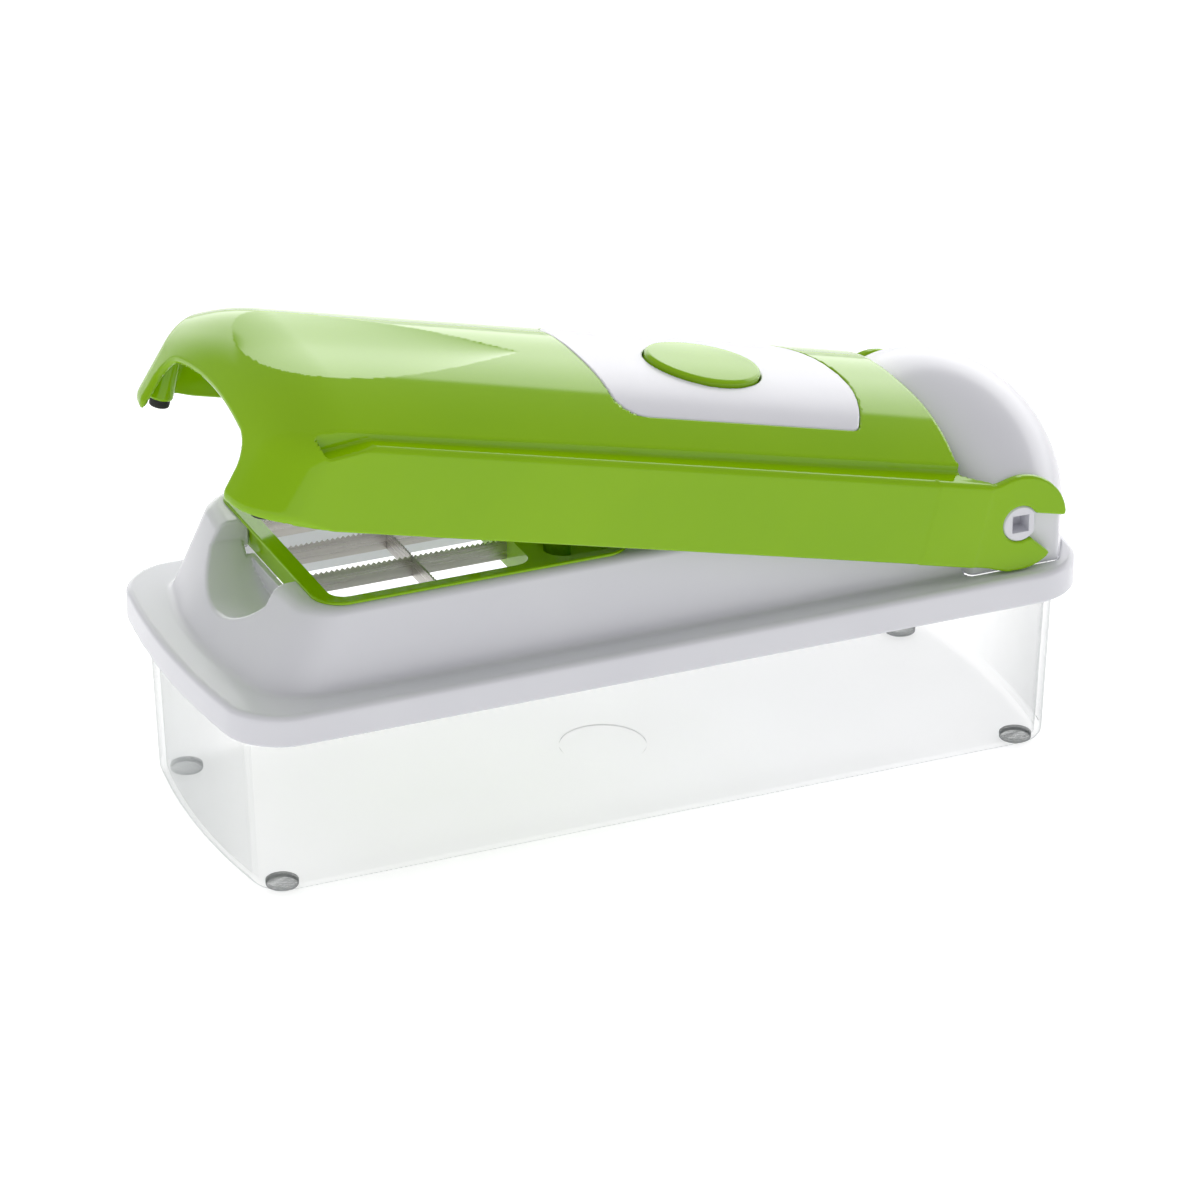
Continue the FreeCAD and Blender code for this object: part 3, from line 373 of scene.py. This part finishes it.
FLANGE_HALF_LENGTH = 136.0
FLANGE_HALF_WIDTH = 55.3
FLANGE_BOW = 5.4
FLANGE_CORNER = 14.8
FLANGE_BOTTOM = 51.3
FLANGE_TOP = 60.8
FLANGE_ROUND = 1.8
DECK_WALL = 2.2
DECK_TOP = 86.0
BODY_BASE_FRONT = -127.0
BODY_TOP_FRONT = -111.0
BODY_BASE_HALF_WIDTH = 46.0
BODY_NARROWING = 1.7
BODY_BASE_BOW = 9.0
BODY_TOP_BOW = 3.0
BODY_REAR = 98.0
BODY_CORNER = 10.0
BODY_REAR_CORNER = 3.0
BODY_ROUND = 2.6
RECESS_HALF_WIDTH = 22.0
RECESS_BOTTOM = 70.0
RECESS_BACK = -102.8
RECESS_RADIUS = 29.2
RECESS_WALL = 1.8
HOLE_FRONT = -101.9
HOLE_REAR = -9.4
HOLE_HALF_WIDTH = 41.6
HOLE_CORNER = 6.0
TOWER_HALF_WIDTH = 48.2
TOWER_RADIUS = 29.5
TOWER_END_RADIUS = 14.0
TOWER_REAR = 133.8
TOWER_BACK_HALF_WIDTH = 62.0
TOWER_BACK_BOW = 5.0
TOWER_WALL = 2.4
BOSS_RADIUS = 8.0
BOSS_SPAN = (36.0, 46.0)
BORE_START = 38.0
PIN_RADIUS = 5.5
RIM_HALF_LENGTH = 127.3
RIM_HALF_WIDTH = 45.9
RIM_BOW = 4.6
RIM_CORNER = 9.0
RIM_WALL = 1.6
RIM_BOTTOM = 54.0


def bowed_end(reach, y, half_width, bow):
    """Distance outside an end that bulges by bow over its half width; reach is how far along."""
    big = (half_width ** 2 + bow ** 2) / (2 * bow)
    return np.hypot(reach + big, y) - big


def even_plan(x, y, half_length, half_width, bow, corner):
    """Plan with the same bowed end front and rear."""
    end = bowed_end(np.abs(x) - half_length, y, half_width, bow)
    return rounded_both(end, np.abs(y) - half_width, corner)


def deck_body(x, y, z, inset):
    """Raised part of the deck: it tapers upwards, most of all at the front."""
    k = (z - FLANGE_TOP + 1.0) / (DECK_TOP - FLANGE_TOP + 1.0)
    half = BODY_BASE_HALF_WIDTH - BODY_NARROWING * k - inset
    front = BODY_BASE_FRONT + (BODY_TOP_FRONT - BODY_BASE_FRONT) * k + inset
    bow = BODY_BASE_BOW - (BODY_BASE_BOW - BODY_TOP_BOW) * k
    lead = bowed_end(front - x, y, half, bow) * 0.86
    plan = rounded_both(lead, np.abs(y) - half, BODY_CORNER - inset)
    return rounded_both(plan, x - BODY_REAR + inset, BODY_REAR_CORNER - inset)


def recess(x, y, z, grow):
    """U-shaped finger recess in the deck's front."""
    bowl = np.hypot(y, z - RECESS_BOTTOM - RECESS_RADIUS) - RECESS_RADIUS - grow
    trough = np.maximum(np.abs(y) - RECESS_HALF_WIDTH - grow, bowl)
    return np.maximum(trough, x - RECESS_BACK - grow)


def tower_form(x, y, z, inset):
    """The tower's solid form: turned about the pins above, upright below."""
    rho = np.hypot(x - PIN_X, np.maximum(z - PIN_Z, 0.0))
    sag = TOWER_RADIUS - TOWER_END_RADIUS
    big = (TOWER_HALF_WIDTH ** 2 + sag ** 2) / (2 * sag)
    barrel = np.hypot(rho - TOWER_RADIUS + big, y) - big + inset
    back = bowed_end(x - TOWER_REAR + inset, y, TOWER_BACK_HALF_WIDTH, TOWER_BACK_BOW)
    sides = rounded_both(barrel, np.abs(y) - TOWER_HALF_WIDTH + inset, 0.8)
    return rounded_both(sides, back, 1.2)


def hinge_tower(x, y, z):
    """White tower between the lid's arms, hollow, with a bored boss at each end."""
    shell = both(tower_form(x, y, z, 0.0), -tower_form(x, y, z, TOWER_WALL), 0.4)
    across = np.hypot(x - PIN_X, z - PIN_Z)
    boss = both(across - BOSS_RADIUS, slab(np.abs(y), *BOSS_SPAN), 0.4)
    shell = either(shell, boss, 0.6)
    shell = both(shell, -both(across - PIN_RADIUS, BORE_START - np.abs(y)), 0.3)
    return both(shell, FLANGE_TOP + 0.02 - z, 0.2)


def deck_frame(x, y, z):
    """White deck: flange, raised body, locating rim, finger recess and insert hole."""
    flange = even_plan(x, y, FLANGE_HALF_LENGTH, FLANGE_HALF_WIDTH, FLANGE_BOW, FLANGE_CORNER)
    flange = rounded_both(flange, z - FLANGE_TOP, FLANGE_ROUND)
    under = even_plan(x, y, FLANGE_HALF_LENGTH - DECK_WALL, FLANGE_HALF_WIDTH - DECK_WALL,
                      FLANGE_BOW, FLANGE_CORNER - DECK_WALL)
    under = both(under, z - FLANGE_TOP + DECK_WALL, 1.0)
    flange = both(both(flange, FLANGE_BOTTOM - z, 0.6), -under, 0.4)
    body = rounded_both(deck_body(x, y, z, 0.0), z - DECK_TOP, BODY_ROUND)
    body = both(body, FLANGE_TOP - 1.0 - z)
    rim = even_plan(x, y, RIM_HALF_LENGTH, RIM_HALF_WIDTH, RIM_BOW, RIM_CORNER)
    within = even_plan(x, y, RIM_HALF_LENGTH - RIM_WALL, RIM_HALF_WIDTH - RIM_WALL, RIM_BOW,
                       RIM_CORNER - RIM_WALL)
    rim = both(both(rim, -within, 0.3), slab(z, RIM_BOTTOM, FLANGE_TOP - 1.0), 0.3)
    deck = either(either(flange, body, 1.6), rim, 0.4)
    hollow = both(deck_body(x, y, z, DECK_WALL), z - DECK_TOP + DECK_WALL, 0.5)
    hollow = both(both(hollow, -recess(x, y, z, RECESS_WALL), 0.5), FLANGE_TOP - 4.0 - z)
    deck = both(deck, -hollow, 0.3)
    hole = rounded_both(slab(x, HOLE_FRONT, HOLE_REAR), np.abs(y) - HOLE_HALF_WIDTH,
                        HOLE_CORNER)
    notch = np.maximum(slab(x, RECESS_BACK - 1.0, -100.0), np.abs(y) - RECESS_HALF_WIDTH + 0.5)
    hole = np.maximum(np.minimum(hole, notch), DECK_TOP - 10.0 - z)
    deck = both(deck, -recess(x, y, z, 0.0), 0.9)
    deck = both(deck, -hole, 0.4)
    return both(deck, -tower_form(x, y, z, -0.02), 0.3)


# ---------------------------------------------------------------- the top panel and the button

BUTTON_X = 23.2
BUTTON_A = 17.6
BUTTON_B = 15.9
BUTTON_PROUD = 1.7
BUTTON_GAP = 0.4
BUTTON_ROUND = 1.1
BUTTON_WALL = 2.0
COLLAR_REACH = 1.6
COLLAR_BOTTOM = 95.4
COLLAR_TOP = 97.0
BUTTON_HOLLOW_TOP = 98.6
STEM_HALF = 3.0
STEM_BOTTOM = 92.1
STEM_TOP = 99.5
RAMP_SLOPE = 0.8
RAMP_SET_BACK = 2.0
TRAY_BOSS_X = 22.5
TRAY_BOSS_STEP_X = 25.5
TRAY_BOSS_Y = 22.0
TRAY_BOSS_RADIUS = 3.2
TRAY_BOSS_BORE = 1.3
TRAY_BOSS_HEIGHTS = (89.3, 96.5)
TRAY_BORE_TOP = 95.2


def oval(x, y, grow):
    """Close to the distance outside the button's oval."""
    a, b = BUTTON_A + grow, BUTTON_B + grow
    u, v = (x - BUTTON_X) / a, y / b
    radial = np.hypot(u, v) + 1e-9
    return (radial - 1.0) * radial / (np.hypot(u / a, v / b) + 1e-9)


def push_button(x, y, z):
    """Oval cap with a collar under the panel and a stem that ends in a ramp."""
    cap = rounded_both(oval(x, y, 0.0), z - crown_height(y) - BUTTON_PROUD,
                       BUTTON_ROUND)
    cap = both(cap, COLLAR_BOTTOM - z, 0.3)
    collar = both(oval(x, y, COLLAR_REACH), slab(z, COLLAR_BOTTOM, COLLAR_TOP), 0.3)
    body = either(cap, collar, 0.4)
    body = both(body, -both(oval(x, y, -BUTTON_WALL), z - BUTTON_HOLLOW_TOP, 0.5), 0.3)
    stem = block(x, y, z, (BUTTON_X - STEM_HALF, -STEM_HALF, STEM_BOTTOM),
                 (BUTTON_X + STEM_HALF, STEM_HALF, STEM_TOP), 0.2)
    ramp = x - BUTTON_X - STEM_HALF + RAMP_SET_BACK - RAMP_SLOPE * (z - STEM_BOTTOM)
    ramp = ramp / math.hypot(1.0, RAMP_SLOPE)
    return either(body, both(stem, ramp, 0.2), 0.3)


def top_panel(x, y, z):
    """White panel with the button's hole and four bosses for the tray's screws."""
    crown = crown_height(y)
    plate = rounded_both(panel_plan(x, y, 0.0), z - crown, 0.35)
    plate = both(plate, crown - PANEL_THICKNESS - z, 0.2)
    plate = both(plate, -oval(x, y, BUTTON_GAP), 0.5)
    boss = np.hypot(np.abs(x - TRAY_BOSS_X) - TRAY_BOSS_STEP_X, np.abs(y) - TRAY_BOSS_Y)
    post = both(boss - TRAY_BOSS_RADIUS, slab(z, *TRAY_BOSS_HEIGHTS), 0.3)
    panel = either(plate, both(post, z - crown + 0.5), 0.4)
    return both(panel, -both(boss - TRAY_BOSS_BORE, z - TRAY_BORE_TOP), 0.2)


# ---------------------------------------------------------------- materials

def linear(colour):
    """8-bit sRGB to scene-linear RGBA."""
    values = [c / 255.0 for c in colour]
    return [((v + 0.055) / 1.055) ** 2.4 if v > 0.04045 else v / 12.92 for v in values] + [1.0]


def map_range(nodes, source, target):
    """Node that maps the source range onto the target range."""
    node = nodes.new("ShaderNodeMapRange")
    node.inputs["From Min"].default_value, node.inputs["From Max"].default_value = source
    node.inputs["To Min"].default_value, node.inputs["To Max"].default_value = target
    return node


def finish_material(name, dark, light, rough, cloud, grain, relief, stretch=(1.0, 1.0, 1.0)):
    """Principled material whose tint and roughness drift with a cloud noise, over a fine bump.
    dark and light are the two tints, rough the roughness range, cloud and grain noise scales."""
    material = bpy.data.materials.new(name)
    material.use_nodes = True
    nodes = material.node_tree.nodes
    link = material.node_tree.links.new
    shader = nodes["Principled BSDF"]
    place = nodes.new("ShaderNodeTexCoord")
    mapping = nodes.new("ShaderNodeMapping")
    mapping.inputs["Scale"].default_value = stretch
    link(place.outputs["Object"], mapping.inputs["Vector"])
    drift = nodes.new("ShaderNodeTexNoise")
    drift.inputs["Scale"].default_value = cloud
    drift.inputs["Detail"].default_value = 4.0
    link(mapping.outputs["Vector"], drift.inputs["Vector"])
    tint = nodes.new("ShaderNodeValToRGB")
    for stop, position, colour in zip(tint.color_ramp.elements, (0.35, 0.65), (dark, light)):
        stop.position = position
        stop.color = linear(colour)
    link(drift.outputs["Fac"], tint.inputs["Fac"])
    link(tint.outputs["Color"], shader.inputs["Base Color"])
    fine = nodes.new("ShaderNodeTexNoise")
    fine.inputs["Scale"].default_value = grain
    fine.inputs["Detail"].default_value = 6.0
    fine.inputs["Roughness"].default_value = 0.6
    link(mapping.outputs["Vector"], fine.inputs["Vector"])
    spread = map_range(nodes, (0.3, 0.7), rough)
    link(fine.outputs["Fac"], spread.inputs["Value"])
    link(spread.outputs["Result"], shader.inputs["Roughness"])
    bump = nodes.new("ShaderNodeBump")
    bump.inputs["Strength"].default_value = relief
    bump.inputs["Distance"].default_value = 0.0002
    link(fine.outputs["Fac"], bump.inputs["Height"])
    link(bump.outputs["Normal"], shader.inputs["Normal"])
    return material, shader


def clear_plastic(name, dark, light):
    """Thin clear plastic: faint where it is seen square on, greyer where it is seen on edge."""
    material, shader = finish_material(name, dark, light, (0.04, 0.09), 30.0, 700.0, 0.03)
    nodes = material.node_tree.nodes
    link = material.node_tree.links.new
    edge = nodes.new("ShaderNodeLayerWeight")
    edge.inputs["Blend"].default_value = 0.3
    alpha = map_range(nodes, (0.35, 0.95), (0.025, 0.9))
    link(edge.outputs["Facing"], alpha.inputs["Value"])
    link(alpha.outputs["Result"], shader.inputs["Alpha"])
    return material


def steel(name, dark, light, rough, stretch=(1.0, 1.0, 1.0)):
    """Bare steel; stretch draws the grain out along an axis."""
    material, shader = finish_material(name, dark, light, rough, 40.0, 300.0, 0.25, stretch)
    shader.inputs["Metallic"].default_value = 1.0
    return material


def moulded(name, dark, light, rough, relief, shine=0.5):
    """Moulded plastic or rubber."""
    material, shader = finish_material(name, dark, light, rough, 18.0, 900.0, relief)
    shader.inputs["Specular IOR Level"].default_value = shine
    return material


# What makes each slot's finish, its two tints, and then that maker's other values.
FINISHES = {
    "clear_plastic": (clear_plastic, (150, 157, 159), (176, 182, 184)),
    "foot_rubber": (moulded, (150, 152, 152), (172, 174, 174), (0.5, 0.7), 0.3),
    "white_plastic": (moulded, (224, 224, 231), (228, 228, 234), (0.2, 0.25), 0.004),
    "green_plastic": (moulded, (139, 188, 0), (144, 192, 0), (0.05, 0.08), 0.002, 0.32),
    "green_matte": (moulded, (128, 172, 6), (136, 180, 10), (0.32, 0.46), 0.06),
    "black_rubber": (moulded, (22, 22, 22), (34, 34, 34), (0.55, 0.75), 0.35),
    "blade_steel": (steel, (176, 172, 166), (204, 200, 195), (0.2, 0.42), (0.1, 0.1, 6.0)),
    "spring_steel": (steel, (150, 150, 150), (185, 185, 185), (0.2, 0.35)),
    "screw_steel": (steel, (175, 175, 178), (205, 205, 208), (0.14, 0.3)),
}
MATERIALS = {name: make(name, *values) for name, (make, *values) in FINISHES.items()}


# ---------------------------------------------------------------- assembly

SLOTS = {part["node"]: part["material_slot"] for part in frame["record"]["subparts"]}
for node, slot in SLOTS.items():
    data = frame["nodes"][node].data
    data.materials.clear()
    data.materials.append(MATERIALS[slot])


def opened(points):
    """Turns closed-lid points or directions about the hinge to the rest angle."""
    c, s = math.cos(OPEN_ANGLE), math.sin(OPEN_ANGLE)
    return points @ np.array([[c, 0.0, -s], [0.0, 1.0, 0.0], [s, 0.0, c]])


def placed(name, mesh, body, node):
    """An object with this mesh that stands for a CAD node and rides on its body."""
    piece = bpy.data.objects.new(name, mesh)
    bpy.context.scene.collection.objects.link(piece)
    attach(piece, body)
    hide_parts(node)
    return piece


def add_piece(name, field, low, high, cell, body, on_lid):
    """A mesh piece for the CAD node that has the name of its field."""
    points, faces, normals = mesh_from_field(field, low, high, cell)
    if on_lid:
        pin = np.array([PIN_X, 0.0, PIN_Z])
        points = opened(points - pin) + pin
        normals = opened(normals)
    node = field.__name__
    mesh = bpy.data.meshes.new(name)
    mesh.from_pydata((points * MM).tolist(), [], faces.tolist())
    mesh.polygons.foreach_set("use_smooth", [True] * len(mesh.polygons))
    mesh.normals_split_custom_set_from_vertices(normals.tolist())
    mesh.materials.append(MATERIALS[SLOTS[node]])
    placed(name, mesh, body, node)


def add_shortening_spring(name, node, joint, along):
    """A copy of a node of springs, carried on the lid in place of that node;
    along points from the fixed end to the moving end, with the lid closed."""
    coils = frame["nodes"][node].data.copy()
    points = np.array([vertex.co for vertex in coils.vertices], float)
    axis = opened(np.array(along, float))
    reach = points @ axis
    length = reach.max() - reach.min()
    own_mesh(placed(name, coils, "lid", node), joint, axis=axis.tolist(),
              anchor=points[reach.argmin()].tolist(),
              keep=1.0 - joints[joint]["range_m"][1] / length)


add_piece("lid", lid_shell, (-138, -53, 60), (127, 53, 101.5), CELL, "lid", True)
add_piece("panel", top_panel, (-19, -36, 88), (70, 36, 101.5), 0.75 * CELL, "lid", True)
add_piece("button", push_button, (2, -19, 91), (44, 19, 103), 0.6 * CELL, "button", True)
add_piece("deck", deck_frame, (-138, -57, 50), (138, 57, 88), CELL, "deck", False)
add_piece("tower", hinge_tower, (78, -50, 59), (136, 50, 108), CELL, "deck", False)
add_shortening_spring("springs_under_button", "button_springs", "button_press", (0, 0, 1))
add_shortening_spring("spring_behind_slide", "latch_spring", "latch_draw", (-1, 0, 0))


# ---------------------------------------------------------------- floor, light and camera

FLOOR_HALF = 6
FLOOR_GLOW = 0.62
SKY_DIM = 0.46
SKY_BRIGHT = 2.5
CAMERA_AZIMUTH = math.radians(-23.45)
CAMERA_ELEVATION = math.radians(25.68)
CAMERA_PLACE = Vector((-0.6846, -1.5761, 0.8764))
CAMERA_LENS = 195.0

scene = bpy.context.scene
scene.view_settings.view_transform = "Standard"

floor_mesh = bpy.data.meshes.new("floor")
floor_mesh.from_pydata([(-FLOOR_HALF, -FLOOR_HALF, 0), (FLOOR_HALF, -FLOOR_HALF, 0),
                        (FLOOR_HALF, FLOOR_HALF, 0), (-FLOOR_HALF, FLOOR_HALF, 0)],
                       [], [(0, 1, 2, 3)])
floor = bpy.data.objects.new("floor", floor_mesh)
floor_finish, floor_shader = finish_material("floor", (228, 228, 228), (233, 233, 233),
                                             (0.5, 0.6), 18.0, 900.0, 0.0)
floor_shader.inputs["Emission Color"].default_value = (1.0, 1.0, 1.0, 1.0)
floor_shader.inputs["Emission Strength"].default_value = FLOOR_GLOW
floor_mesh.materials.append(floor_finish)
scene.collection.objects.link(floor)

# The walls behind the object are a bright softbox up to a level edge; the rest is dim.
world = bpy.data.worlds.new("studio")
world.use_nodes = True
sky = world.node_tree.nodes
join = world.node_tree.links.new
direction = sky.new("ShaderNodeTexCoord")


def sky_mask(axis, start, end):
    """1 where the direction's part along axis is under start, 0 where it is over end."""
    along = sky.new("ShaderNodeVectorMath")
    along.operation = "DOT_PRODUCT"
    along.inputs[1].default_value = axis
    mask = map_range(sky, (start, end), (1.0, 0.0))
    mask.interpolation_type = "SMOOTHSTEP"
    join(direction.outputs["Generated"], along.inputs[0])
    join(along.outputs["Value"], mask.inputs["Value"])
    return mask.outputs["Result"]


softbox = sky.new("ShaderNodeMath")
softbox.operation = "MULTIPLY"
join(sky_mask((0.0, 0.0, 1.0), 0.46, 0.5), softbox.inputs[0])
join(sky_mask((-0.643, -0.766, 0.0), -0.7, -0.45), softbox.inputs[1])
strength = map_range(sky, (0.0, 1.0), (SKY_DIM, SKY_BRIGHT))
join(softbox.outputs["Value"], strength.inputs["Value"])
join(strength.outputs["Result"], sky["Background"].inputs["Strength"])
sky["Background"].inputs["Color"].default_value = (1.0, 1.0, 1.0, 1.0)
scene.world = world

key_data = bpy.data.lights.new("key", "AREA")
key_data.energy = 12.0
key_data.size = 2.2
key = bpy.data.objects.new("key", key_data)
key.location = (-0.5, 0.4, 2.2)
key.rotation_euler = (Vector((0.0, 0.0, 0.05)) - key.location).to_track_quat("-Z", "Y").to_euler()
key.visible_glossy = False
scene.collection.objects.link(key)

camera_data = bpy.data.cameras.new("camera")
camera_data.lens = CAMERA_LENS
camera_data.sensor_width = 36.0
camera_data.clip_start = 0.05
camera_data.clip_end = 50.0
camera = bpy.data.objects.new("camera", camera_data)
right = Vector((math.cos(CAMERA_AZIMUTH), math.sin(CAMERA_AZIMUTH), 0.0))
level = Vector((-math.sin(CAMERA_AZIMUTH), math.cos(CAMERA_AZIMUTH), 0.0))
ahead = level * math.cos(CAMERA_ELEVATION) - Vector((0.0, 0.0, math.sin(CAMERA_ELEVATION)))
up = right.cross(ahead)
turn = Matrix((right, up, -ahead)).transposed().to_4x4()
camera.matrix_world = Matrix.Translation(CAMERA_PLACE) @ turn
scene.collection.objects.link(camera)
scene.camera = camera
